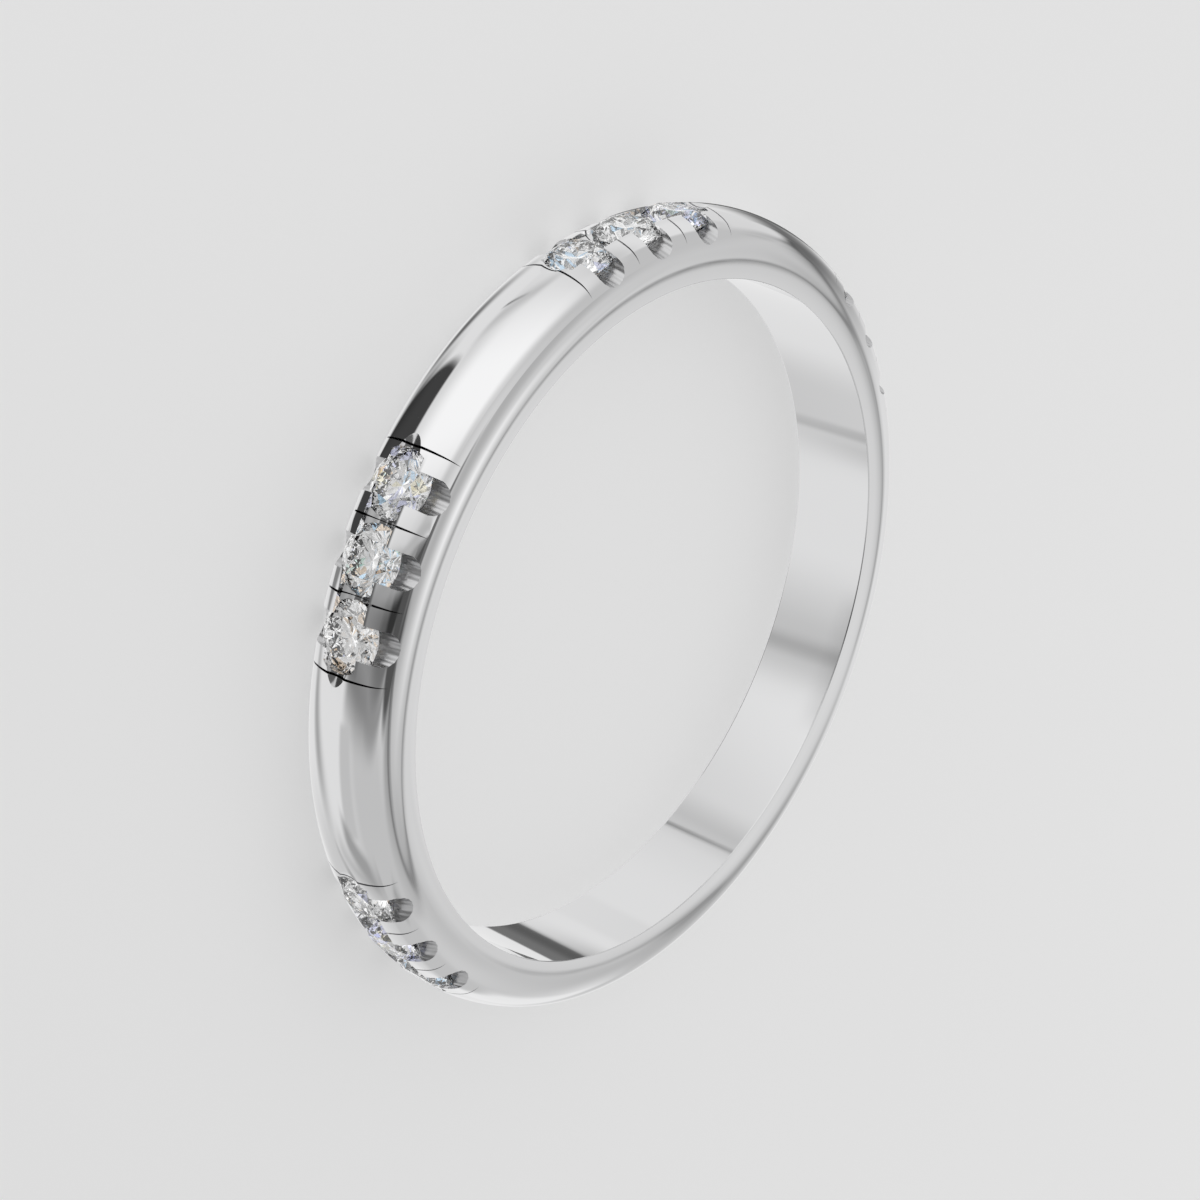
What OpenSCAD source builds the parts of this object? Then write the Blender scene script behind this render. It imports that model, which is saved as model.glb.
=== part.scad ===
// Station wedding band: a low domed ring of white metal with four groups of three small round
// stones round its front half and a plain back. A round-bottomed scoop runs out from each side of
// a stone over the shoulder, and the stone is held by the corners of four square prongs, which the
// scoops, fine saw cuts and a lengthwise channel leave around it.
// The ring lies on its side: its axis is +Z and its lower side face is on Z = 0. +X is the middle
// of the front.

/* [Band] */
// Inside diameter of the finger hole
bore_d = 17; // [16.5:0.1:20]
// Width of the band, measured along the finger
band_w = 2.3; // [2.2:0.05:2.6]
// Thickness of the metal from the finger hole to the top of the dome
wall = 1.5; // [1.4:0.05:1.8]
// Radius of the low dome across the band
dome_r = 1.75; // [1.6:0.05:2]
// Radius of the shoulders that turn the dome into the side faces
shoulder_r = 0.72; // [0.65:0.01:0.8]
// Radius that softens the two inner edges
inner_edge_r = 0.05; // [0.05:0.01:0.15]

/* [Stations] */
// Number of groups of stones, spread about the middle of the front
stations = 4; // [1:1:5]
// Angle between the middles of neighbouring groups
station_pitch = 60; // [52:1:72]
// Number of stones in each group
stones_each = 3; // [1:1:3]
// Angle between the middles of neighbouring stones
stone_pitch = 10; // [9.9:0.1:11]

/* [Stone] */
// Diameter of a stone at its girdle
stone_d = 1.58; // [1.4:0.02:1.6]
// Width of the table as a share of the diameter
table_share = 0.57; // [0.52:0.01:0.62]
// Height of the crown as a share of the diameter
crown_share = 0.15; // [0.13:0.01:0.16]
// Depth of the pavilion as a share of the diameter
pavilion_share = 0.43; // [0.41:0.01:0.45]
// Depth of the girdle below the top of the dome
girdle_sunk = 0.26; // [0.24:0.01:0.3]

/* [Setting] */
// Width of the round-bottomed scoop on each side of a stone
scoop_w = 0.78; // [0.6:0.02:0.84]
// Radius of the bottom of a scoop
scoop_r = 0.43; // [0.42:0.01:0.5]
// Depth below the top of the dome at which a scoop reaches the side face
scoop_depth = 0.66; // [0.6:0.01:0.7]
// Slope of a scoop down from the stone to the side face
scoop_tilt = 20; // [10:1:24]
// Depth of the fine V-shaped saw cuts between the stones and beside the end stones
saw_depth = 0.52; // [0.48:0.01:0.6]
// Width of a saw cut at the top of the dome
saw_w = 0.06; // [0.05:0.01:0.12]
// Width of the channel that runs along a station between the prongs
channel_w = 0.91; // [0.8:0.01:1]
// Radius of the hollow floor of that channel
channel_floor_r = 0.67; // [0.55:0.01:0.8]
// How far the channel runs on past the saw cut at each end of a station
channel_runout = 0.25; // [0.1:0.05:0.4]
// Gap between a stone and the metal
stone_gap = 0.015; // [0.01:0.005:0.02]

/* [Hidden] */
$fn = 96;
bore_r = bore_d / 2;
top_r = bore_r + wall;
half_w = band_w / 2;
dome_centre_r = top_r - dome_r;
shoulder_z = half_w - shoulder_r;
shoulder_angle = asin(shoulder_z / (dome_r - shoulder_r));
shoulder_centre_r = dome_centre_r + (dome_r - shoulder_r) * cos(shoulder_angle);
// Angle by which the rounding of the dome runs on over the shoulders, outside their own rounding
dome_overrun = 3;
// Reach of a cutter past the surface that it opens
past = 0.3;
// Distance from the middle of the band at which a scoop starts, inside the channel
scoop_start = 0.3;

stone_r = stone_d / 2;
girdle_r = top_r - girdle_sunk;
table_r = stone_r * table_share;
crown_h = stone_d * crown_share;
pavilion_h = stone_d * pavilion_share;
girdle_h = stone_d * 0.03;
// The eight main facets of crown and pavilion, and half the angle between them
mains = 8;
main_half = 180 / mains;
// Points round the girdle, four to each main facet
girdle_points = 4 * mains;
// Middle of a table edge, and the tips where two star or two lower half facets meet
table_edge_r = table_r * cos(main_half);
star_tip_r = table_edge_r + 0.5 * (stone_r - table_edge_r);
lower_tip_r = 0.23 * stone_r;

station_half = stone_pitch * stones_each / 2;
channel_end = station_half + channel_runout / top_r * 180 / PI;
channel_floor = top_r * cos(channel_end);
channel_half_l = top_r * sin(channel_end) + past;

function station_angle(station) = (station - (stations - 1) / 2) * station_pitch;
function stone_angle(station, place) =
    station_angle(station) + (place - (stones_each - 1) / 2) * stone_pitch;

STONE_NAMES = [for (s = [1:stations]) for (p = [1:stones_each]) str("stone_", s, "_", p)];

// Region outside an arc, between its start and end directions, that rounds off one corner.
module arc_waste(centre, r, start, end) {
    reach = 2 * wall;
    translate(centre)
        difference() {
            polygon([
                [0, 0],
                [reach * cos(start), reach * sin(start)],
                [reach * cos(end), reach * sin(end)]
            ]);
            circle(r = r);
        }
}

// The band's cross-section, in the plane of radius and Z.
module profile() {
    edge_centre_r = bore_r + inner_edge_r;
    edge_centre_z = half_w - inner_edge_r;
    difference() {
        translate([bore_r, -half_w]) square([wall, band_w]);
        arc_waste(
            [dome_centre_r, 0], dome_r, -shoulder_angle - dome_overrun, shoulder_angle + dome_overrun
        );
        arc_waste([shoulder_centre_r, shoulder_z], shoulder_r, shoulder_angle, 90);
        arc_waste([shoulder_centre_r, -shoulder_z], shoulder_r, -90, -shoulder_angle);
        arc_waste([edge_centre_r, edge_centre_z], inner_edge_r, 90, 180);
        arc_waste([edge_centre_r, -edge_centre_z], inner_edge_r, 180, 270);
    }
}

// Places children, drawn about their own origin with +Z outwards, at a stone's girdle.
module at_stone(angle) {
    rotate([0, 0, angle])
        translate([girdle_r, 0, half_w])
            rotate([0, 90, 0])
                children();
}

// Hollow that holds one stone: the pavilion and crown with a gap all round.
module seat() {
    r = stone_r + stone_gap;
    rotate_extrude()
        polygon([
            [0, -girdle_h - pavilion_h - 2 * stone_gap],
            [r, -girdle_h - stone_gap],
            [r, stone_gap],
            [table_r + stone_gap, crown_h + stone_gap],
            [table_r + stone_gap, crown_h + past],
            [0, crown_h + past]
        ]);
    // Between the prongs the stone is open to its full width
    linear_extrude(crown_h + past)
        intersection() {
            circle(r = r);
            square([channel_w, 2 * stone_d], center = true);
        }
}

// A slot with a round bottom at the origin and straight walls, drawn with +X upwards.
module slot_outline(r, w, height) {
    intersection() {
        union() {
            translate([r, 0]) circle(r = r);
            translate([r, -w]) square([height, 2 * w]);
        }
        translate([-past, -w / 2]) square([2 * past + height, w]);
    }
}

// Round-bottomed scoops on both sides of a stone, from under its edge out over the shoulders.
module scoops(angle) {
    inner_end = (half_w - scoop_start) / cos(scoop_tilt);
    rotate([0, 0, angle])
        for (side = [0, 1])
            translate([0, 0, side * band_w])
                mirror([0, 0, 1 - side])
                    translate([top_r - scoop_depth, 0, 0])
                        rotate([0, -scoop_tilt, 0])
                            translate([0, 0, -inner_end])
                                linear_extrude(inner_end + past)
                                    slot_outline(scoop_r, scoop_w, wall);
}

module saw_cut(angle) {
    k = 1 + past / saw_depth;
    rotate([0, 0, angle])
        translate([top_r - saw_depth, 0, -past])
            linear_extrude(band_w + 2 * past)
                polygon([[0, 0], [saw_depth * k, saw_w / 2 * k], [saw_depth * k, -saw_w / 2 * k]]);
}

// Straight channel along a station: its hollow floor runs out through the dome at both ends.
module channel(angle) {
    rotate([0, 0, angle])
        translate([channel_floor, channel_half_l, half_w])
            rotate([90, 0, 0])
                linear_extrude(2 * channel_half_l)
                    slot_outline(channel_floor_r, channel_w, top_r - channel_floor);
}

module band() {
    color("gainsboro")
    difference() {
        translate([0, 0, half_w]) rotate_extrude() profile();
        for (s = [0:stations - 1]) {
            channel(station_angle(s));
            for (p = [0:stones_each - 1]) {
                scoops(stone_angle(s, p));
                at_stone(stone_angle(s, p)) seat();
            }
            for (p = [0:stones_each])
                saw_cut(stone_angle(s, p) - stone_pitch / 2);
        }
    }
}

// Points of the brilliant cut
function ring_points(n, r, start, z) =
    [for (i = [0:n - 1]) [r * cos(start + i * 360 / n), r * sin(start + i * 360 / n), z]];

// Height of a crown main facet, and of a pavilion main facet, at a distance along its middle
function crown_main_z(x) = crown_h * (stone_r - x) / (stone_r - table_r);
function pavilion_main_z(x) = -girdle_h - pavilion_h * (1 - x / stone_r);

star_tip_z = crown_main_z(star_tip_r * cos(main_half));
lower_tip_z = pavilion_main_z(lower_tip_r * cos(main_half));

// Drop of a half facet's plane where it meets the round girdle midway between two main points
half_sag = stone_r * (1 - cos(main_half / 2));
half_edge_r = stone_r * cos(main_half / 2);
function half_slope(tip_r, tip_z) = tip_z / (half_edge_r - tip_r * cos(main_half / 2));
crown_dip = half_sag * half_slope(star_tip_r, star_tip_z);
pavilion_dip = half_sag * half_slope(lower_tip_r, -lower_tip_z - girdle_h);

function girdle_edge(z, dip) =
    [for (i = [0:girdle_points - 1])
        let (a = i * 360 / girdle_points)
        [stone_r * cos(a), stone_r * sin(a), z - (i % 2 == 1 ? dip : 0)]];

// Round brilliant: table, stars, crown mains, upper halves, girdle, lower halves, pavilion mains
module brilliant() {
    points = concat(
        ring_points(mains, table_r, 0, crown_h),
        ring_points(mains, star_tip_r, main_half, star_tip_z),
        girdle_edge(0, crown_dip),
        girdle_edge(-girdle_h, -pavilion_dip),
        ring_points(mains, lower_tip_r, main_half, lower_tip_z),
        [[0, 0, -girdle_h - pavilion_h]]
    );
    star = mains;
    upper = 2 * mains;
    lower = upper + girdle_points;
    tip = lower + girdle_points;
    culet = tip + mains;
    g = girdle_points;
    faces = concat(
        [[for (i = [mains - 1:-1:0]) i]],
        [for (i = [0:mains - 1]) [i, (i + 1) % mains, star + i]],
        [for (i = [0:mains - 1]) [i, star + i, upper + 4 * i, star + (i + mains - 1) % mains]],
        [for (i = [0:mains - 1]) [star + i, upper + 4 * i + 2, upper + 4 * i + 1, upper + 4 * i]],
        [for (i = [0:mains - 1])
            [star + i, upper + (4 * i + 4) % g, upper + 4 * i + 3, upper + 4 * i + 2]],
        [for (i = [0:g - 1]) [upper + i, upper + (i + 1) % g, lower + (i + 1) % g, lower + i]],
        [for (i = [0:mains - 1]) [lower + 4 * i, lower + 4 * i + 1, lower + 4 * i + 2, tip + i]],
        [for (i = [0:mains - 1])
            [lower + 4 * i + 2, lower + 4 * i + 3, lower + (4 * i + 4) % g, tip + i]],
        [for (i = [0:mains - 1])
            [lower + 4 * i, tip + i, culet, tip + (i + mains - 1) % mains]]
    );
    polyhedron(points, faces);
}

module stone(angle) {
    color([0.93, 0.95, 0.98])
    at_stone(angle) brilliant();
}

band();
for (s = [1:stations])
    for (p = [1:stones_each])
        stone(stone_angle(s - 1, p - 1));
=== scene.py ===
import math

import bmesh
import bpy
import numpy as np
from mathutils import Matrix, Vector


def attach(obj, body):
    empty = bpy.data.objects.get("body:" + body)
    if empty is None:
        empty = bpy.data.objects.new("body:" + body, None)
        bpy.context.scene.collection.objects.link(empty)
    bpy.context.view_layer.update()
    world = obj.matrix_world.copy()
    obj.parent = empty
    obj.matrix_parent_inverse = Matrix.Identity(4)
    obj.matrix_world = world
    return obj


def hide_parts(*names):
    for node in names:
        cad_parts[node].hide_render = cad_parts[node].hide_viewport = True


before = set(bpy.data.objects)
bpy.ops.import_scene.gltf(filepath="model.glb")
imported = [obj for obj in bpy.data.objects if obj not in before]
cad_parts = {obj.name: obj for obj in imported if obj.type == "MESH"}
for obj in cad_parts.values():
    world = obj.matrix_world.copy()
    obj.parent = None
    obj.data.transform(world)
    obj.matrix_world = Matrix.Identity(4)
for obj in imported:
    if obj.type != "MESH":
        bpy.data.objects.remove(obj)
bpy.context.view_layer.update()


# The band is one ring of 18 carat white gold, cast, turned to a low dome with soft shoulders and
# nearly flat sides, and polished. Seats, round-bottomed scoops, fine saw cuts and lengthwise
# channels are cut into its front half, which leaves four square prongs at each stone.

MM = 0.001
BORE_R = 8.5 * MM
WALL = 1.5 * MM
BAND_W = 2.3 * MM
DOME_R = 1.75 * MM
SHOULDER_R = 0.6 * MM
SHOULDER_Z = 0.513 * MM
SIDE_R = 2.0 * MM
SIDE_INNER_R = 4.6 * MM
INNER_EDGE_R = 0.03 * MM
TOP_R = BORE_R + WALL
HALF_W = BAND_W / 2
STEPS_ROUND = 480

STATIONS = 4
STATION_PITCH = math.radians(60)
STONES_EACH = 3
STONE_PITCH = math.radians(10)

# A stone, and how far its girdle lies below the top of the dome.
STONE_R = 0.79 * MM
TABLE_R = STONE_R * 0.57
CROWN_H = 2 * STONE_R * 0.15
PAVILION_H = 2 * STONE_R * 0.43
GIRDLE_H = 2 * STONE_R * 0.03
GIRDLE_AT = TOP_R - 0.26 * MM

# A scoop: its width, its round bottom and its depth at the side of the band, the arc that it bends
# over on, and where it is level and starts, from the middle of the band's width.
SCOOP_W = 0.78 * MM
SCOOP_R = 0.43 * MM
SCOOP_DEPTH = 0.66 * MM
SCOOP_BEND = 1.75 * MM
SCOOP_LEVEL_Z = 0.45 * MM
SCOOP_START = 0.3 * MM
SCOOP_FLUTES = 7
FLUTE_DEPTH = 0.004 * MM
SAW_DEPTH = 0.52 * MM
SAW_W = 0.06 * MM
CHANNEL_W = 0.91 * MM
CHANNEL_FLOOR_R = 0.67 * MM
CHANNEL_END = STONES_EACH / 2 * STONE_PITCH + 0.25 * MM / TOP_R
STONE_GAP = 0.015 * MM
# How far the cutters reach past the metal.
PAST = 0.3 * MM

# The centres of the section's arcs, and the leans at which one arc runs into the next.
DOME_CENTRE = TOP_R - DOME_R
SHOULDER_ANGLE = math.asin(SHOULDER_Z / (DOME_R - SHOULDER_R))
SHOULDER_CENTRE = DOME_CENTRE + (DOME_R - SHOULDER_R) * math.cos(SHOULDER_ANGLE)
SIDE_ANGLE = math.asin((HALF_W - SIDE_R - SHOULDER_Z) / (SHOULDER_R - SIDE_R))
SIDE_CENTRE = SHOULDER_CENTRE - (SIDE_R - SHOULDER_R) * math.cos(SIDE_ANGLE)
EDGE_CENTRE = BORE_R + INNER_EDGE_R
EDGE_ANGLE = math.acos((EDGE_CENTRE - SIDE_CENTRE) / (SIDE_INNER_R - INNER_EDGE_R))
EDGE_Z = HALF_W - SIDE_INNER_R + (SIDE_INNER_R - INNER_EDGE_R) * math.sin(EDGE_ANGLE)

quarter = math.pi / 2


def arc(centre_r, centre_z, radius, start, end, steps):
    """An arc without its last point: radius, height and lean of the surface's normal at each."""
    angles = np.linspace(start, end, steps, endpoint=False)
    return [
        (centre_r + radius * math.cos(a), centre_z + radius * math.sin(a), a)
        for a in angles
    ]


# Half of the section, from the top of the dome over the shoulder and the slightly domed side to the
# middle of the finger hole.
upper = (
    arc(DOME_CENTRE, 0, DOME_R, 0, SHOULDER_ANGLE, 12)
    + arc(SHOULDER_CENTRE, SHOULDER_Z, SHOULDER_R, SHOULDER_ANGLE, SIDE_ANGLE, 16)
    + arc(SIDE_CENTRE, HALF_W - SIDE_R, SIDE_R, SIDE_ANGLE, quarter, 6)
    + arc(SIDE_CENTRE, HALF_W - SIDE_INNER_R, SIDE_INNER_R, quarter, EDGE_ANGLE, 6)
    + arc(EDGE_CENTRE, EDGE_Z, INNER_EDGE_R, EDGE_ANGLE, 2 * quarter, 6)
    + [(BORE_R, EDGE_Z * k / 3, 2 * quarter) for k in (3, 2, 1, 0)]
)
section = upper + [(r, -z, -lean) for r, z, lean in upper[-2:0:-1]]


def new_object(name, mesh):
    made = bpy.data.objects.new(name, mesh)
    bpy.context.scene.collection.objects.link(made)
    return made


def skin(bm, rings):
    """Closes a row of rings, each a list of as many places: walls between them and two caps."""
    rings = [[bm.verts.new(place) for place in ring] for ring in rings]
    for low, high in zip(rings, rings[1:]):
        for i in range(len(low)):
            j = (i + 1) % len(low)
            bm.faces.new((low[i], low[j], high[j], high[i]))
    bm.faces.new(rings[0][::-1])
    bm.faces.new(rings[-1])


def finished(bm, name):
    """Makes a mesh of what was built, with its faces pointing outwards."""
    bmesh.ops.recalc_face_normals(bm, faces=bm.faces)
    mesh = bpy.data.meshes.new(name)
    bm.to_mesh(mesh)
    bm.free()
    return mesh


def cutter_of(name, *bodies):
    """A cutter made of closed bodies, each a row of rings."""
    bm = bmesh.new()
    for rings in bodies:
        skin(bm, rings)
    return new_object(name, finished(bm, name))


def seat_cutter():
    """The hollow for one stone, turned about the radial line through the stone."""
    steps = 64
    r = STONE_R + STONE_GAP
    outline = [
        (0, -GIRDLE_H - PAVILION_H - 2 * STONE_GAP),
        (r, -GIRDLE_H - STONE_GAP),
        (r, STONE_GAP),
        (TABLE_R + STONE_GAP, CROWN_H + STONE_GAP),
        (TABLE_R + STONE_GAP, CROWN_H + PAST),
        (0, CROWN_H + PAST),
    ]
    bm = bmesh.new()
    rings = []
    for radius, up in outline:
        if radius == 0:
            rings.append([bm.verts.new((GIRDLE_AT + up, 0, 0))])
            continue
        turn = [2 * math.pi * i / steps for i in range(steps)]
        round_r = [(radius * math.cos(a), radius * math.sin(a)) for a in turn]
        rings.append([bm.verts.new((GIRDLE_AT + up, t, z)) for t, z in round_r])
    for low, high in zip(rings, rings[1:]):
        for i in range(steps):
            j = (i + 1) % steps
            corners = [low[i % len(low)], low[j % len(low)]]
            corners += [high[j % len(high)], high[i % len(high)]]
            unique = [c for k, c in enumerate(corners) if c not in corners[:k]]
            bm.faces.new(unique)
    return new_object("seat_cutter", finished(bm, "seat_cutter"))


def opening_cutter():
    """Opens a seat to its full width between the prongs."""
    steps = 14
    r = STONE_R + STONE_GAP
    reach = math.asin(CHANNEL_W / 2 / r)
    side = [(r * math.cos(a), r * math.sin(a)) for a in np.linspace(-reach, reach, steps)]
    outline = side + [(-t, -z) for t, z in side]
    ends = (GIRDLE_AT - GIRDLE_H / 2, GIRDLE_AT + CROWN_H + PAST)
    return cutter_of("opening_cutter", [[(end, t, z) for t, z in outline] for end in ends])


def round_bottomed(bottom_r, radius, half_width, top_r, flutes=0):
    """Outline of a slot with a round bottom, straight walls and an open top, as (radius, across).
    The tool can leave shallow flutes along the bottom."""
    steps = 57
    lean = math.asin(min(1, half_width / radius))
    bottom = []
    for a in np.linspace(-lean, lean, steps):
        reach = radius + FLUTE_DEPTH * math.sin(math.pi * flutes * (a / lean + 1))
        bottom.append((bottom_r + radius - reach * math.cos(a), reach * math.sin(a)))
    return bottom + [(top_r, half_width), (top_r, -half_width)]


def scoop_cutter():
    """Two round-bottomed slots that bend over outwards, one for each side of the band."""
    steps = 25
    outline = round_bottomed(SCOOP_BEND, SCOOP_R, SCOOP_W / 2, SCOOP_BEND + WALL, SCOOP_FLUTES)
    level = math.asin((HALF_W - SCOOP_LEVEL_Z) / SCOOP_BEND)
    middle_r = TOP_R - SCOOP_DEPTH - SCOOP_BEND * math.cos(level)
    start = math.asin((SCOOP_START - SCOOP_LEVEL_Z) / SCOOP_BEND)
    end = math.asin((HALF_W + PAST - SCOOP_LEVEL_Z) / SCOOP_BEND)
    sides = []
    for flip in (1, -1):
        sides.append([
            [(middle_r + r * math.cos(lean), t, flip * (SCOOP_LEVEL_Z + r * math.sin(lean)))
             for r, t in outline]
            for lean in np.linspace(start, end, steps)
        ])
    return cutter_of("scoop_cutter", *sides)


def saw_cutter():
    """A narrow wedge right across the band."""
    spread = SAW_W / 2 * (1 + PAST / SAW_DEPTH)
    outline = [(TOP_R - SAW_DEPTH, 0), (TOP_R + PAST, spread), (TOP_R + PAST, -spread)]
    ends = (-HALF_W - PAST, HALF_W + PAST)
    return cutter_of("saw_cutter", [[(r, t, end) for r, t in outline] for end in ends])


def channel_cutter():
    """A straight round-bottomed slot under all the stones of a station."""
    bottom_r = TOP_R * math.cos(CHANNEL_END)
    outline = round_bottomed(bottom_r, CHANNEL_FLOOR_R, CHANNEL_W / 2, TOP_R + PAST)
    half_l = TOP_R * math.sin(CHANNEL_END) + PAST
    return cutter_of("channel_cutter", [[(r, y, z) for r, z in outline] for y in (-half_l, half_l)])


cutters = {
    "Seat": seat_cutter(),
    "Opening": opening_cutter(),
    "Scoop": scoop_cutter(),
    "Saw cut": saw_cutter(),
    "Channel": channel_cutter(),
}


def tree_with(name, floats=(), integers=(), objects=(), materials=()):
    """A node tree with a geometry socket in and out, and named inputs for its sizes."""
    tree = bpy.data.node_groups.new(name, "GeometryNodeTree")
    tree.interface.new_socket("Geometry", in_out="INPUT", socket_type="NodeSocketGeometry")
    tree.interface.new_socket("Geometry", in_out="OUTPUT", socket_type="NodeSocketGeometry")
    kinds = (
        (floats, "NodeSocketFloat"),
        (integers, "NodeSocketInt"),
        (objects, "NodeSocketObject"),
        (materials, "NodeSocketMaterial"),
    )
    for names, kind in kinds:
        for label in names:
            tree.interface.new_socket(label, in_out="INPUT", socket_type=kind)
    return tree


def add(tree, kind, links=(), **settings):
    """Adds a node, sets its properties, and feeds its inputs with values or with other sockets."""
    node = tree.nodes.new(kind)
    for key, value in settings.items():
        setattr(node, key, value)
    for key, value in dict(links).items():
        socket = node.inputs[key]
        if isinstance(value, bpy.types.NodeSocket):
            tree.links.new(value, socket)
        else:
            socket.default_value = value
    return node


def maths(tree, operation, a, b=0.0):
    return add(tree, "ShaderNodeMath", {0: a, 1: b}, operation=operation).outputs[0]


def turned_blank(tree, into):
    """Turns the closed section, which is the tree's geometry, round the ring's axis."""
    steps, points = into["Steps round"], into["Section points"]
    grid = add(tree, "GeometryNodeMeshGrid", {
        "Size X": 1.0,
        "Size Y": 1.0,
        "Vertices X": maths(tree, "ADD", steps, 1),
        "Vertices Y": maths(tree, "ADD", points, 1),
    })
    at = add(tree, "ShaderNodeSeparateXYZ", {0: add(tree, "GeometryNodeInputPosition").outputs[0]})
    turn = maths(tree, "MULTIPLY", maths(tree, "ADD", at.outputs["X"], 0.5), 2 * math.pi)
    along = maths(tree, "MULTIPLY", maths(tree, "ADD", at.outputs["Y"], 0.5), points)
    index = maths(tree, "MODULO", maths(tree, "ROUND", along), points)
    sample = add(tree, "GeometryNodeSampleIndex", {
        "Geometry": into["Geometry"],
        "Value": add(tree, "GeometryNodeInputPosition").outputs[0],
        "Index": index,
    }, data_type="FLOAT_VECTOR", domain="POINT")
    turned = add(tree, "ShaderNodeVectorRotate", {
        "Vector": sample.outputs[0],
        "Angle": turn,
    }, rotation_type="Z_AXIS")
    placed = add(tree, "GeometryNodeSetPosition", {
        "Geometry": grid.outputs["Mesh"],
        "Position": turned.outputs[0],
    })
    closed = add(tree, "GeometryNodeMergeByDistance", {
        "Geometry": placed.outputs[0],
        "Distance": 0.001 * MM,
    })
    return closed.outputs[0]


def station_points(tree, into, each):
    """A point for each place: so many in a station."""
    count = maths(tree, "MULTIPLY", into["Stations"], each)
    return add(tree, "GeometryNodePoints", {"Count": count}).outputs[0]


def angle_round(tree, into, each):
    """The angle of each point round the ring, spread about the middle of its station."""
    index = add(tree, "GeometryNodeInputIndex").outputs[0]
    station = maths(tree, "FLOOR", maths(tree, "DIVIDE", maths(tree, "ADD", index, 0.5), each))
    place = maths(tree, "SUBTRACT", index, maths(tree, "MULTIPLY", station, each))
    middle = maths(tree, "DIVIDE", maths(tree, "SUBTRACT", each, 1), 2)
    off = maths(tree, "MULTIPLY", maths(tree, "SUBTRACT", place, middle), into["Stone pitch"])
    half_stations = maths(tree, "DIVIDE", maths(tree, "SUBTRACT", into["Stations"], 1), 2)
    from_front = maths(tree, "SUBTRACT", station, half_stations)
    return maths(tree, "ADD", maths(tree, "MULTIPLY", from_front, into["Station pitch"]), off)


def set_round(tree, into, cutter, each):
    """Sets one cutter at each of its places."""
    turn = add(tree, "ShaderNodeCombineXYZ", {"Z": angle_round(tree, into, each)}).outputs[0]
    held = add(tree, "GeometryNodeObjectInfo", {"Object": into[cutter]})
    spread = add(tree, "GeometryNodeInstanceOnPoints", {
        "Points": station_points(tree, into, each),
        "Instance": held.outputs["Geometry"],
        "Rotation": turn,
    })
    return add(tree, "GeometryNodeRealizeInstances", {0: spread.outputs[0]}).outputs[0]


band_tree = tree_with(
    "turned and cut band",
    floats=["Station pitch", "Stone pitch"],
    integers=["Steps round", "Section points", "Stations", "Stones in a station"],
    objects=list(cutters),
    materials=["Metal"],
)
into = band_tree.nodes.new("NodeGroupInput").outputs
blank = turned_blank(band_tree, into)
saws_each = maths(band_tree, "ADD", into["Stones in a station"], 1)
each_of = {
    "Channel": 1.0,
    "Scoop": into["Stones in a station"],
    "Seat": into["Stones in a station"],
    "Opening": into["Stones in a station"],
    "Saw cut": saws_each,
}
for cutter, each in each_of.items():
    tools = set_round(band_tree, into, cutter, each)
    cut = add(band_tree, "GeometryNodeMeshBoolean", {"Mesh 1": blank, "Mesh 2": tools},
              operation="DIFFERENCE", solver="MANIFOLD")
    blank = cut.outputs["Mesh"]
dressed = add(band_tree, "GeometryNodeSetMaterial", {
    "Geometry": add(band_tree, "GeometryNodeRealizeInstances", {0: blank}).outputs[0],
    "Material": into["Metal"],
})
last = band_tree.nodes.new("NodeGroupOutput")
band_tree.links.new(dressed.outputs[0], last.inputs[0])


# The metal's own colour, and a darker colour painted on the cuts as shade.
BRIGHT = (0.8, 0.8, 0.805, 1)
SHADED_CUT_COLOUR = (0.6, 0.6, 0.605, 1)


def noise(tree, place, scale, detail):
    values = {"Vector": place, "Scale": scale, "Detail": detail}
    return add(tree, "ShaderNodeTexNoise", values).outputs["Fac"]


def rising(tree, pattern, least, more):
    """A value that follows a pattern from the least upwards."""
    return maths(tree, "ADD", maths(tree, "MULTIPLY", pattern, more), least)


def white_gold():
    """High polish: almost a mirror, with faint hairlines; the cuts are rougher, as tooled, and
    painted darker as shade.
    """
    metal = bpy.data.materials.new("white_gold")
    metal.use_nodes = True
    tree = metal.node_tree
    shader = tree.nodes["Principled BSDF"]
    shader.inputs["Metallic"].default_value = 1.0
    place = add(tree, "ShaderNodeTexCoord").outputs["Object"]
    cloud = noise(tree, place, scale=900.0, detail=3.0)
    rub = noise(tree, place, scale=6000.0, detail=4.0)
    cut = add(tree, "ShaderNodeAttribute", attribute_name="cut").outputs["Fac"]
    polish = rising(tree, cloud, least=0.02, more=0.03)
    duller = rising(tree, rub, least=0.28, more=0.08)
    mix = add(tree, "ShaderNodeMix", {0: cut, 2: polish, 3: duller}, data_type="FLOAT")
    tree.links.new(mix.outputs[0], shader.inputs["Roughness"])
    # Painted shade: the faces marked as cut take the darker colour, the scoops fully.
    colour = add(tree, "ShaderNodeMix", {0: cut, "A": BRIGHT, "B": SHADED_CUT_COLOUR}, data_type="RGBA")
    tree.links.new(colour.outputs["Result"], shader.inputs["Base Color"])
    bump = add(tree, "ShaderNodeBump", {"Height": rub, "Strength": 0.01, "Distance": 0.01 * MM})
    tree.links.new(bump.outputs[0], shader.inputs["Normal"])
    return metal


def section_outline():
    """The closed section as a line, for the tree to turn."""
    mesh = bpy.data.meshes.new("band_section")
    n = len(section)
    edges = [(i, (i + 1) % n) for i in range(n)]
    mesh.from_pydata([(r, 0, z) for r, z, lean in section], edges, [])
    return new_object("band_section", mesh)


def set_inputs(modifier, tree, values):
    """Sets the tree's inputs on a modifier, which knows them by identifier and not by name."""
    for item in tree.interface.items_tree:
        if item.in_out == "INPUT" and item.name in values:
            modifier[item.identifier] = values[item.name]


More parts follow.
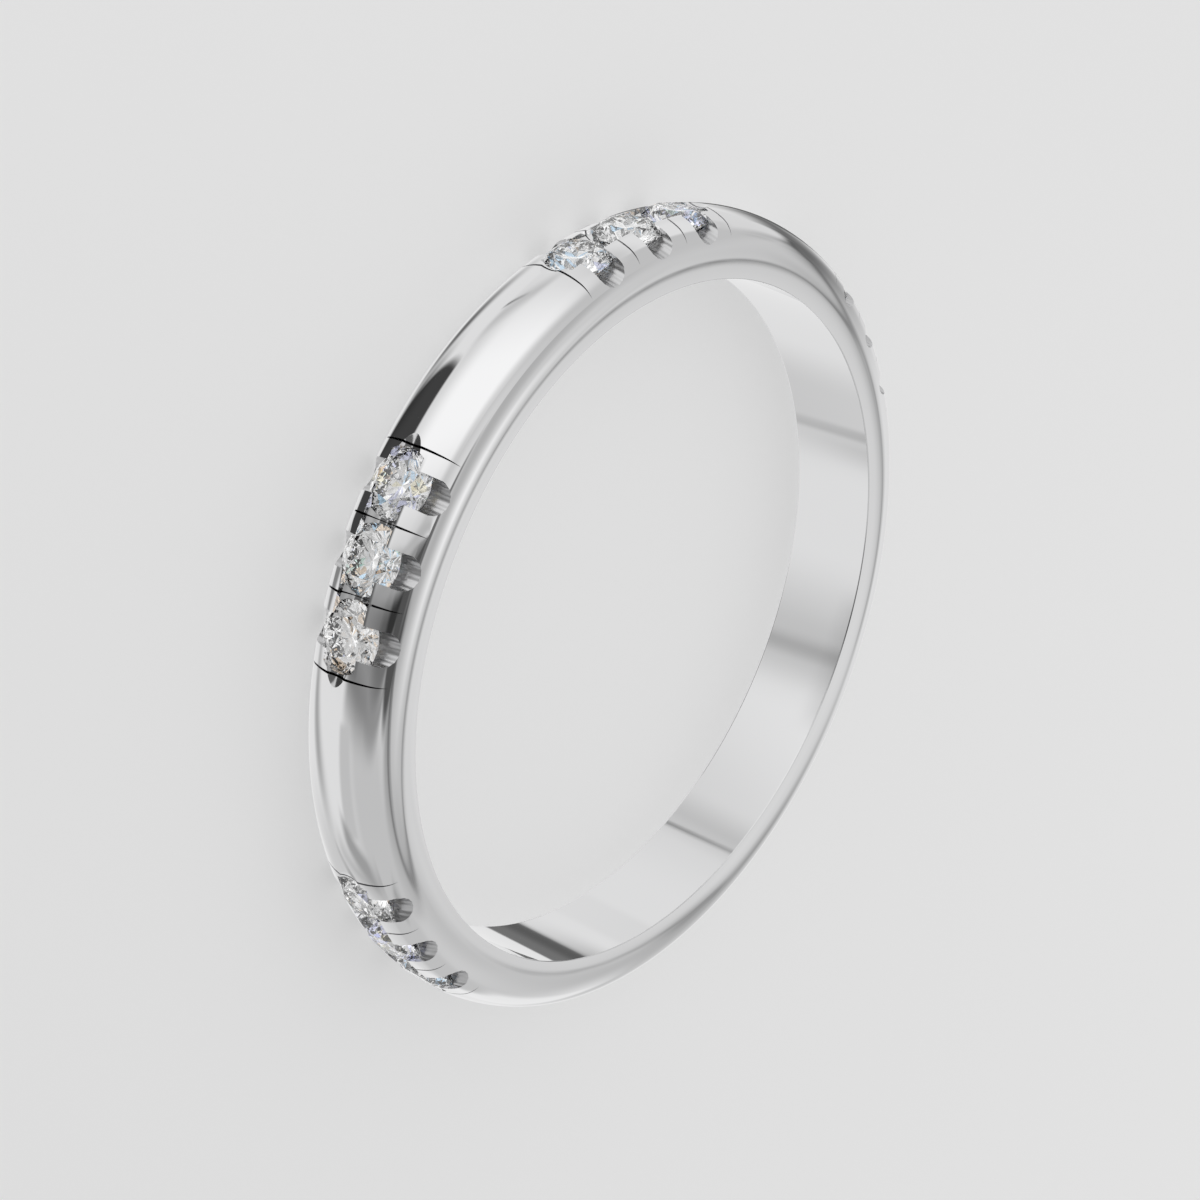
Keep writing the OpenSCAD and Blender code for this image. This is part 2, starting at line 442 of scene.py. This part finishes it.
def plain_mesh(maker, name):
    """What the maker's tree makes, as a plain mesh; the maker and its modifier are removed."""
    graph = bpy.context.evaluated_depsgraph_get()
    mesh = bpy.data.meshes.new_from_object(maker.evaluated_get(graph))
    bpy.data.objects.remove(maker)
    return new_object(name, mesh)


metal = white_gold()
section_line = section_outline()
turning = section_line.modifiers.new("turning and cutting", "NODES")
turning.node_group = band_tree
set_inputs(turning, band_tree, {
    "Station pitch": STATION_PITCH,
    "Stone pitch": STONE_PITCH,
    "Steps round": STEPS_ROUND,
    "Section points": len(section),
    "Stations": STATIONS,
    "Stones in a station": STONES_EACH,
    "Metal": metal,
    **cutters,
})
band = plain_mesh(section_line, "polished_band")
for cutter in cutters.values():
    bpy.data.objects.remove(cutter)


# A corner counts as turned when it is as near as this to the section and its face leans as the
# section does. The cuts are rougher, as tooled, and painted darker as shade; the scoops, which are
# so far from the middle, get this fully and the other cuts a fifth as much.
ON_SECTION = 0.004 * MM
SAME_LEAN = 0.985
SCOOPS_FROM_Z = 0.6 * MM
SCOOP_DULL_AND_SHADE = 1.0
SEAT_DULL_AND_SHADE = 0.2
SHARP = math.radians(30)


def dress_normals(piece):
    """Gives the turned surfaces their true normals, marks the cuts to be rougher and painted darker
    as shade, and raises the band until it lies on the floor."""
    mesh = piece.data
    verts = np.empty(len(mesh.vertices) * 3)
    mesh.vertices.foreach_get("co", verts)
    verts = verts.reshape(-1, 3)
    r = np.hypot(verts[:, 0], verts[:, 1])
    z = verts[:, 2]
    az = np.arctan2(verts[:, 1], verts[:, 0])
    starts = np.array(section)
    ends = np.roll(starts, -1, axis=0)
    best = np.full(len(verts), np.inf)
    out = np.zeros(len(verts))
    up = np.zeros(len(verts))
    for (r0, z0, lean0), (r1, z1, lean1) in zip(starts, ends):
        run = np.array((r1 - r0, z1 - z0))
        share = np.clip(((r - r0) * run[0] + (z - z0) * run[1]) / run.dot(run), 0, 1)
        off = np.hypot(r0 + share * run[0] - r, z0 + share * run[1] - z)
        nearer = off < best
        best = np.where(nearer, off, best)
        out = np.where(nearer, (1 - share) * math.cos(lean0) + share * math.cos(lean1), out)
        up = np.where(nearer, (1 - share) * math.sin(lean0) + share * math.sin(lean1), up)
    true = np.stack([out * np.cos(az), out * np.sin(az), up], 1)
    true /= np.linalg.norm(true, axis=1, keepdims=True)
    loops = np.empty(len(mesh.loops), dtype=np.int64)
    mesh.loops.foreach_get("vertex_index", loops)
    faces = np.empty(len(mesh.polygons) * 3)
    mesh.polygons.foreach_get("normal", faces)
    faces = faces.reshape(-1, 3)
    sizes = np.empty(len(mesh.polygons), dtype=np.int64)
    mesh.polygons.foreach_get("loop_total", sizes)
    face_of = np.repeat(np.arange(len(sizes)), sizes)
    leans_alike = (true[loops] * faces[face_of]).sum(1) > SAME_LEAN
    fits = (best[loops] < ON_SECTION) & leans_alike
    turned = np.ones(len(sizes), dtype=bool)
    np.logical_and.at(turned, face_of, fits)
    normals = np.where(turned[face_of][:, None], true[loops], 0.0)
    mesh.polygons.foreach_set("use_smooth", np.ones(len(sizes), dtype=bool))
    mesh.set_sharp_from_angle(angle=SHARP)
    mesh.normals_split_custom_set([tuple(v) for v in normals])
    in_scoop = np.abs([face.center.z for face in mesh.polygons]) > SCOOPS_FROM_Z
    # The cut mark paints these faces darker as shade and makes them rougher, as tooled.
    dullness_and_shade = ~turned * np.where(in_scoop, SCOOP_DULL_AND_SHADE, SEAT_DULL_AND_SHADE)
    marks = mesh.attributes.new("cut", "FLOAT", "FACE")
    marks.data.foreach_set("value", dullness_and_shade.astype(np.float32))
    mesh.transform(Matrix.Translation((0, 0, HALF_W)))
    mesh.update()


dress_normals(band)
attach(band, "root")
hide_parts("band")


# The stones are twelve small round brilliants of colourless stone, each cut with fifty-seven flat
# facets and set table outwards, flush with the dome. Each one was dropped in at its own turn.

# How far the star facets reach from the table to the girdle, and how near the long lower facets
# come to the point.
STAR_SHARE = 0.5
LOWER_SHARE = 0.23
GIRDLE_STEPS = 96


def facet_plane(a, b, c):
    """A plane through three points, facing away from the stone's axis."""
    normal = (Vector(b) - Vector(a)).cross(Vector(c) - Vector(a)).normalized()
    return (Vector(a), normal if normal.dot(Vector(a) - Vector((0, 0, -GIRDLE_H))) > 0 else -normal)


def polar(radius, angle, up):
    return (radius * math.cos(angle), radius * math.sin(angle), up)


def brilliant_mesh():
    """A girdle cylinder cut down by the flat facets of crown and pavilion."""
    bm = bmesh.new()
    below_culet = -GIRDLE_H - PAVILION_H - 0.2 * STONE_R
    turns = [2 * math.pi * i / GIRDLE_STEPS for i in range(GIRDLE_STEPS)]
    skin(bm, [[polar(STONE_R, a, up) for a in turns] for up in (below_culet, CROWN_H)])
    eighth = math.pi / 4
    half = eighth / 2
    edge_r = TABLE_R * math.cos(half)
    star_r = edge_r + STAR_SHARE * (STONE_R - edge_r)
    star_z = CROWN_H * (STONE_R - star_r * math.cos(half)) / (STONE_R - TABLE_R)
    lower_r = LOWER_SHARE * STONE_R
    lower_z = -GIRDLE_H - PAVILION_H * (1 - lower_r * math.cos(half) / STONE_R)
    planes = []
    for k in range(8):
        main = k * eighth
        planes.append(facet_plane(
            polar(STONE_R, main, 0),
            polar(TABLE_R, main, CROWN_H),
            polar(star_r, main + half, star_z),
        ))
        planes.append(facet_plane(
            polar(TABLE_R, main, CROWN_H),
            polar(TABLE_R, main + eighth, CROWN_H),
            polar(star_r, main + half, star_z),
        ))
        planes.append(facet_plane(
            polar(STONE_R, main, -GIRDLE_H),
            polar(lower_r, main + half, lower_z),
            (0, 0, -GIRDLE_H - PAVILION_H),
        ))
        for side in (-1, 1):
            planes.append(facet_plane(
                polar(star_r, main + half, star_z),
                polar(STONE_R, main + half, 0),
                polar(STONE_R, main + half + side * half, 0),
            ))
            planes.append(facet_plane(
                polar(lower_r, main + half, lower_z),
                polar(STONE_R, main + half, -GIRDLE_H),
                polar(STONE_R, main + half + side * half, -GIRDLE_H),
            ))
    for point, normal in planes:
        everything = bm.verts[:] + bm.edges[:] + bm.faces[:]
        cut = bmesh.ops.bisect_plane(bm, geom=everything, dist=1e-9, plane_co=point,
                                     plane_no=normal, clear_outer=True)
        rim = [e for e in cut["geom_cut"] if isinstance(e, bmesh.types.BMEdge)]
        if rim:
            bmesh.ops.holes_fill(bm, edges=rim)
    bmesh.ops.remove_doubles(bm, verts=bm.verts, dist=1e-8)
    return finished(bm, "brilliant")


stone_tree = tree_with(
    "stones in their places",
    floats=["Station pitch", "Stone pitch", "Girdle radius", "Seat height"],
    integers=["Stations", "Stones in a station", "Seed"],
    materials=["Stone"],
)
into = stone_tree.nodes.new("NodeGroupInput").outputs
each = into["Stones in a station"]
angle = angle_round(stone_tree, into, each)
out = add(stone_tree, "ShaderNodeCombineXYZ", {"X": into["Girdle radius"]}).outputs[0]
spot = add(stone_tree, "ShaderNodeVectorRotate", {
    "Vector": out,
    "Angle": angle,
}, rotation_type="Z_AXIS").outputs[0]
lift = add(stone_tree, "ShaderNodeCombineXYZ", {"Z": into["Seat height"]}).outputs[0]
where = add(stone_tree, "ShaderNodeVectorMath", {0: spot, 1: lift}, operation="ADD")
set_points = add(stone_tree, "GeometryNodeSetPosition", {
    "Geometry": station_points(stone_tree, into, each),
    "Position": where.outputs[0],
})
own_turn = add(stone_tree, "FunctionNodeRandomValue", {
    "Min": 0.0,
    "Max": math.pi / 4,
    "Seed": into["Seed"],
}, data_type="FLOAT")
tip_over = add(stone_tree, "ShaderNodeCombineXYZ", {"Y": math.pi / 2, "Z": angle}).outputs[0]
spread = add(stone_tree, "GeometryNodeInstanceOnPoints", {
    "Points": set_points.outputs[0],
    "Instance": into["Geometry"],
    "Rotation": tip_over,
})
drawn = [o for o in own_turn.outputs if o.enabled][0]
spin = add(stone_tree, "ShaderNodeCombineXYZ", {"Z": drawn}).outputs[0]
turned = add(stone_tree, "GeometryNodeRotateInstances", {
    "Instances": spread.outputs[0],
    "Rotation": spin,
    "Local Space": True,
})
dressed = add(stone_tree, "GeometryNodeSetMaterial", {
    "Geometry": add(stone_tree, "GeometryNodeRealizeInstances", {0: turned.outputs[0]}).outputs[0],
    "Material": into["Stone"],
})
last = stone_tree.nodes.new("NodeGroupOutput")
stone_tree.links.new(dressed.outputs[0], last.inputs[0])


STONE_IOR = 2.417
KEPT_BELOW = 0.78


def cut_stone():
    """Clear stone with strong refraction. The facets below its girdle let little light out, and a
    few small facets have pale tints painted on what passes or is mirrored in them: painted glints
    that stand for its fire."""
    stone = bpy.data.materials.new("stone")
    stone.use_nodes = True
    tree = stone.node_tree
    tree.nodes.clear()
    out = tree.nodes.new("ShaderNodeOutputMaterial")
    # Painted glints: the fire tint is a fixed colour on some facets, standing for coloured light.
    spark_tint_painted = add(tree, "ShaderNodeAttribute", attribute_name="painted_fire").outputs["Color"]
    inside = add(tree, "ShaderNodeNewGeometry").outputs["Backfacing"]
    glint = add(tree, "ShaderNodeMix", {0: inside, "A": (1, 1, 1, 1), "B": spark_tint_painted}, data_type="RGBA")
    through = add(tree, "ShaderNodeBsdfRefraction", {
        "Color": spark_tint_painted,
        "Roughness": 0.0,
        "IOR": STONE_IOR,
    })
    shine = add(tree, "ShaderNodeBsdfGlossy", {"Color": glint.outputs["Result"], "Roughness": 0.0})
    edge = add(tree, "ShaderNodeFresnel", {"IOR": STONE_IOR}).outputs[0]
    below = add(tree, "ShaderNodeAttribute", attribute_name="below_girdle").outputs["Fac"]
    kept = maths(tree, "MULTIPLY", maths(tree, "MULTIPLY", below, inside), KEPT_BELOW)
    share = maths(tree, "MAXIMUM", edge, kept)
    both = add(tree, "ShaderNodeMixShader", {0: share, 1: through.outputs[0], 2: shine.outputs[0]})
    tree.links.new(both.outputs[0], out.inputs["Surface"])
    return stone


stone_maker = new_object("stone_maker", brilliant_mesh())
setting = stone_maker.modifiers.new("setting", "NODES")
setting.node_group = stone_tree
set_inputs(setting, stone_tree, {
    "Station pitch": STATION_PITCH,
    "Stone pitch": STONE_PITCH,
    "Girdle radius": GIRDLE_AT,
    "Seat height": HALF_W,
    "Stations": STATIONS,
    "Stones in a station": STONES_EACH,
    "Seed": 4,
    "Stone": cut_stone(),
})
stones = plain_mesh(stone_maker, "brilliants")

# The painted sparks of fire: pale tints painted on some of the smaller facets as coloured glints,
# fewer of them below the girdle.
PAINTED_SPARK_TINTS = (
    (0.62, 0.82, 1.0),
    (0.78, 0.8, 1.0),
    (1.0, 0.84, 0.68),
    (1.0, 0.95, 0.76),
    (0.82, 1.0, 0.92),
)
SPARKS_ON_CROWN = 0.11
SPARKS_BELOW = 0.03
LARGEST_SPARKLING = 3.5
FACES_IN = -0.1

below_girdle = stones.data.attributes.new("below_girdle", "FLOAT", "FACE")
# The painted fire: fixed pale tints on some facets, as painted coloured glints.
painted_fire = stones.data.attributes.new("painted_fire", "FLOAT_COLOR", "FACE")
areas = [face.area for face in stones.data.polygons]
largest = LARGEST_SPARKLING * sum(areas) / len(areas)
pick = np.random.default_rng(11)
for face in stones.data.polygons:
    middle = face.center
    outwards = Vector((middle.x, middle.y, 0)).normalized()
    below = face.normal.dot(outwards) < FACES_IN
    below_girdle.data[face.index].value = float(below)
    share = SPARKS_BELOW if below else SPARKS_ON_CROWN
    sparkling = pick.random() < share and face.area < largest
    colour = PAINTED_SPARK_TINTS[pick.integers(len(PAINTED_SPARK_TINTS))] if sparkling else (1.0, 1.0, 1.0)
    painted_fire.data[face.index].color = (*colour, 1.0)
stone_nodes = [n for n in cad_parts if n.startswith("stone_")]
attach(stones, "root")
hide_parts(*stone_nodes)


# The studio: a pale matt light table that the ring lies on, in a small light tent of white cloth
# with grey cards in it, which is what the polished metal mirrors. The half of the tent below the
# table shows in the metal alone: the ring was photographed upright, with no table on that side.

FLOOR_HALF = 1.5
FLOOR_GAP = 0.000005


def light_table():
    """Matt white acrylic that glows a little from below, so that shadows on it stay pale."""
    acrylic = bpy.data.materials.new("light_table")
    acrylic.use_nodes = True
    tree = acrylic.node_tree
    shader = tree.nodes["Principled BSDF"]
    shader.inputs["Roughness"].default_value = 0.6
    shader.inputs["Emission Color"].default_value = (1, 1, 1, 1)
    shader.inputs["Emission Strength"].default_value = 0.45
    place = add(tree, "ShaderNodeTexCoord").outputs["Object"]
    grain = noise(tree, place, scale=60.0, detail=4.0)
    shade = add(tree, "ShaderNodeMapRange", {"Value": grain, "To Min": 0.45, "To Max": 0.46})
    tree.links.new(shade.outputs[0], shader.inputs["Base Color"])
    return acrylic


floor_mesh = bpy.data.meshes.new("floor")
corners = [(x * FLOOR_HALF, y * FLOOR_HALF, 0) for x, y in ((-1, -1), (1, -1), (1, 1), (-1, 1))]
floor_mesh.from_pydata(corners, [], [(0, 1, 2, 3)])
floor_mesh.materials.append(light_table())
floor = new_object("floor", floor_mesh)
floor.location.z = -FLOOR_GAP
floor.visible_glossy = False
floor.visible_transmission = False

# The tent and the camera are placed round the ring by the photograph's own angles. The ring lies
# turned on the table, so they are all turned by as much.
VIEW_TURN = math.radians(-142.7)

TENT_R = 90 * MM
METAL_TENT_GRID = (448, 220)
STONE_TENT_GRID = (240, 120)
# The tent's cloth gets lighter from this elevation to its top, and down to this much below the
# table.
TOP_FROM = 55
BELOW_TO = 20
POLE = 89.5
# The cards in the tent: azimuth and elevation of the middle, half sizes, softness of the edges, all
# in degrees, then how far the card leans over and how bright it is.
TENT_CARDS = [
    (114.8, 11.6, 23.1, 49.1, 20.6, 2.4, -0.01, 0.79),
    (132.4, 10.1, 32.2, 36.3, 25.7, 12.0, -0.29, 1.13),
    (176.1, 47.0, 4.6, 44.8, 2.4, 12.0, -0.05, 0.36),
    (197.4, 47.6, 11.6, 44.1, 9.7, 23.8, 0.05, 0.04),
    (208.8, 39.3, 14.1, 56.6, 11.5, 4.4, 0.24, 0.20),
    (216.6, 31.8, 6.8, 64.4, 9.4, 15.6, 0.6, 0.33),
    (257.1, -9.3, 3.2, 23.0, 6.9, 3.0, 0, 0.48),
    (277.3, 34.2, 6.1, 4.3, 2.3, 7.1, 0.6, 0.42),
    (320.0, 64.4, 9.7, 23.0, 35.0, 0.8, -0.8, 0.03),
    (332.0, 33.2, 3.4, 21.8, 16.6, 5.8, -0.36, 0.07),
    (1.2, 5.9, 19.6, 17.8, 5.8, 0.6, 0.8, 0.83),
    (307.4, -0.5, 9.5, 19.7, 3.3, 8.5, 0.46, 0.98),
    (27.4, 8.3, 10.1, 17.9, 10.5, 4.4, -0.5, 0.16),
    (27.7, -17.7, 6.4, 13.3, 6.9, 5.3, 0.4, 0.17),
    (43.4, -9.0, 8.1, 24.4, 2.2, 8.3, -0.18, 0.81),
    (66.7, 0.8, 13.2, 15.7, 6.0, 4.1, -0.13, 0.91),
    (168.9, 51.7, 4.1, 37.6, 3.5, 17.8, -0.27, 0.56),
    (355.5, 61.6, 34.2, 11.8, 1.3, 7.6, 0.1, 0.52),
    (100.7, -33.0, 0.8, 6.0, 0.8, 2.4, 0, 0.08),
    (11.7, -34.0, 8.8, 9.0, 0.8, 3.0, 0, 0.19),
    (16.5, -34.0, 4.0, 9.0, 3.5, 3.0, 0, 0.12),
    (179.7, -32.3, 2.7, 8.7, 3.3, 6.3, 0.41, 0.05),
    (263.6, -30.0, 2.1, 7.1, 1.3, 2.6, 0.15, 0.11),
    (185.4, -34.1, 12.2, 11.0, 17.9, 10.8, 0.22, 0.64),
    (277.3, -39.6, 18.1, 12.9, 13.0, 10.5, -0.6, 0.70),
    (153.5, -61.6, 45.1, 22.7, 3.2, 1.9, 0.6, 0.06),
    (178.5, -17.5, 23.0, 12.5, 6.0, 1.5, 0, 0.14),
    (180.0, -45.0, 26.0, 9.0, 5.0, 0.8, 0, 0.06),
    (245.0, 70.5, 50.0, 1.2, 8.0, 1.2, 0, 0.20),
    (230.8, -13.3, 14.8, 6.9, 1.2, 2.6, -0.16, 0.63),
    (250.6, -12.7, 4.5, 11.1, 3.0, 3.8, 0.39, 0.41),
    (244.8, -58.0, 10.1, 15.4, 10.0, 12.0, 0.48, 0.45),
    (62.1, -65.0, 14.1, 8.5, 11.7, 9.0, -0.6, 0.16),
    (103.2, -28.1, 5.2, 10.6, 6.7, 4.4, -0.59, 0.63),
    (104.2, -73.7, 19.7, 9.7, 18.0, 10.0, 0.6, 0.04),
    (335.7, 27.6, 1.6, 4.6, 1.3, 5.7, 0.28, 0.03),
    (358.5, 24.5, 2.6, 7.9, 11.0, 3.0, 0.8, 0.18),
    (350.7, 50.0, 15.6, 4.0, 24.3, 12.6, -0.11, 1.35),
    (337.8, 33.6, 10.0, 6.3, 34.8, 30.8, -0.59, 1.28),
    (17.3, 37.2, 3.7, 18.4, 7.6, 4.5, -0.68, 0.70),
    (252.0, 79.0, 76.0, 13.0, 8.0, 3.0, 0, 0.10),
    (345.0, 85.0, 60.0, 9.0, 20.0, 4.0, 0, 0.17),
    (214.0, -77.0, 20.0, 7.0, 8.0, 3.0, 0, 0.27),
    (197.0, 53.0, 8.0, 13.0, 5.0, 6.0, 0.2, 0.04),
]
# Dark seams run over the cloth: the points that each goes by, half its width and the softness of
# its edges, all in degrees, and how bright it is.
TENT_SEAMS = [
    ([
        (316.9, 68.3), (316.5, 61.9), (315.3, 53.9), (316.3, 48.3), (320.0, 43.8),
        (327.0, 41.8), (334.3, 41.0), (343.0, 41.1), (350.1, 40.8), (356.3, 39.8),
        (360.9, 38.3), (363.7, 36.1), (364.8, 33.6), (363.9, 30.8), (365.8, 26.8),
        (371.4, 25.1), (377.1, 23.9), (381.7, 20.9), (388.2, 15.2), (393.5, -1.2),
    ], 0.30, 1.8, 0.07),
    ([
        (350.0, 21.1), (352.1, 21.0), (360.0, 22.5), (363.7, 26.5), (369.0, 26.5),
    ], 0.50, 2.0, 0.33),
    ([
        (333.1, 34.2), (333.2, 33.6), (334.6, 32.7), (335.8, 30.7), (335.9, 30.6),
        (336.5, 25.9), (335.9, 21.9), (334.7, 17.0),
    ], 0.05, 1.3, 0.22),
]


def inside_card(offset, half, soft):
    """One inside a card and zero outside it, with a soft edge."""
    out = np.clip((np.abs(offset) - half + soft) / (2 * soft), 0, 1)
    return 1 - out * out * (3 - 2 * out)


def off_seam(azimuth, elevation, points):
    """Distance in degrees from a line along the points, with its corners cut three times."""
    line = np.array(points)
    for rounding in range(3):
        first = line[:-1] * 0.75 + line[1:] * 0.25
        second = line[:-1] * 0.25 + line[1:] * 0.75
        line = np.stack([first, second], 1).reshape(-1, 2)
    nearest = np.full(azimuth.shape, 360.0)
    for (az0, el0), (az1, el1) in zip(line, line[1:]):
        squeeze = math.cos(math.radians((el0 + el1) / 2))
        run = ((az1 - az0) * squeeze, el1 - el0)
        aside = ((azimuth - az0 + 180) % 360 - 180) * squeeze
        above = elevation - el0
        share = np.clip((aside * run[0] + above * run[1]) / (run[0] ** 2 + run[1] ** 2), 0, 1)
        nearest = np.minimum(nearest, np.hypot(aside - share * run[0], above - share * run[1]))
    return nearest


def light_tent(name, radius, grid, cards, wall, top, below, seams=()):
    """A sphere round the ring that glows between its cards; the camera looks through its wall."""
    round_steps, up_steps = grid
    azimuth = np.linspace(0, 360, round_steps, endpoint=False)[None, :] + np.zeros((up_steps, 1))
    elevation = np.linspace(-POLE, POLE, up_steps)[:, None] + np.zeros((1, round_steps))
    level = wall + (top - wall) * np.clip((elevation - TOP_FROM) / (90 - TOP_FROM), 0, 1)
    level += (below - wall) * np.clip(-elevation / BELOW_TO, 0, 1)
    for az, el, half_az, half_el, soft_az, soft_el, lean, tone in cards:
        above = elevation - el
        aside = (azimuth - az - lean * above + 180) % 360 - 180
        share = inside_card(aside, half_az, soft_az) * inside_card(above, half_el, soft_el)
        level = level * (1 - share) + tone * share
    for points, half_width, soft, tone in seams:
        share = inside_card(off_seam(azimuth, elevation, points), half_width, soft)
        level = level * (1 - share) + tone * share
    a, e = np.radians(azimuth) + VIEW_TURN, np.radians(elevation)
    outwards = np.stack([np.cos(e) * np.cos(a), np.cos(e) * np.sin(a), np.sin(e)], -1)
    places = outwards.reshape(-1, 3) * radius
    at = np.arange(round_steps * up_steps).reshape(up_steps, round_steps)
    nexts = np.roll(at, -1, axis=1)
    quads = np.stack([at[:-1], at[1:], nexts[1:], nexts[:-1]], -1).reshape(-1, 4)
    caps = [at[-1][::-1].tolist(), at[0].tolist()]
    mesh = bpy.data.meshes.new(name)
    mesh.from_pydata(places.tolist(), [], quads.tolist() + caps)
    glows = mesh.attributes.new("glow", "FLOAT", "POINT")
    glows.data.foreach_set("value", level.ravel().astype(np.float32))
    cloth = bpy.data.materials.new("tent_cloth")
    cloth.use_nodes = True
    tree = cloth.node_tree
    tree.nodes.clear()
    glow = add(tree, "ShaderNodeAttribute", attribute_name="glow").outputs["Fac"]
    lit = add(tree, "ShaderNodeEmission", {"Color": (1, 1, 1, 1), "Strength": glow})
    out = tree.nodes.new("ShaderNodeOutputMaterial")
    tree.links.new(lit.outputs[0], out.inputs["Surface"])
    cloth.cycles.emission_sampling = "NONE"
    mesh.materials.append(cloth)
    mesh.shade_smooth()
    tent = new_object(name, mesh)
    tent.visible_camera = False
    return tent


metal_tent = light_tent(
    "light_tent", TENT_R, METAL_TENT_GRID, TENT_CARDS,
    wall=0.64, top=0.90, below=0.89, seams=TENT_SEAMS,
)
metal_tent.visible_transmission = False

# Clear stones need brighter light with small dark spots in it, so what shines through them has a
# tent of its own: one large grey card behind the camera, and spots strewn over the rest.
SPOTS = 34
SPOT_TONE = 0.14
STONE_CARDS = [(170, 25, 36, 36, 14, 14, 0, 0.55)]
strewn = np.random.default_rng(3)
for k in range(SPOTS):
    az, el = strewn.uniform(0, 360), strewn.uniform(5, 80)
    half_az, half_el = strewn.uniform(4, 9), strewn.uniform(4, 9)
    STONE_CARDS.append((az, el, half_az, half_el, 2, 2, 0, SPOT_TONE))
stone_tent = light_tent(
    "stone_tent", 0.95 * TENT_R, STONE_TENT_GRID, STONE_CARDS,
    wall=0.87, top=1.0, below=1.25,
)
stone_tent.visible_glossy = False
stone_tent.visible_diffuse = False

room = bpy.data.worlds.new("room")
bpy.context.scene.world = room
room.use_nodes = True
room.node_tree.nodes["Background"].inputs["Color"].default_value = (0.74, 0.74, 0.74, 1)
room.node_tree.nodes["Background"].inputs["Strength"].default_value = 1.0


# The camera stands where the photograph was taken from: 34 degrees above the plane of the ring.
# Its directions and place were fitted to the outlines of the dome and of the finger hole.

camera_data = bpy.data.cameras.new("camera")
camera_data.lens = 78
camera_data.sensor_width = 36
camera_data.clip_start = 0.001
camera_data.clip_end = 10
camera = new_object("camera", camera_data)
turn = Matrix.Rotation(VIEW_TURN, 3, "Z")
right = turn @ Vector((0.5971, 0.2437, 0.7642))
up = turn @ Vector((0.0, 0.9527, -0.3038))
back = turn @ Vector((-0.8021, 0.1814, 0.5689))
stand = turn @ Vector((-50.642, 11.526, 35.051)) * MM + Vector((0, 0, HALF_W))
camera.matrix_world = Matrix((
    (right.x, up.x, back.x, stand.x),
    (right.y, up.y, back.y, stand.y),
    (right.z, up.z, back.z, stand.z),
    (0, 0, 0, 1),
))
bpy.context.scene.camera = camera
bpy.context.scene.view_settings.view_transform = "Standard"
# Light is mirrored many times inside a cut stone before it comes out again.
bpy.context.scene.cycles.glossy_bounces = 12
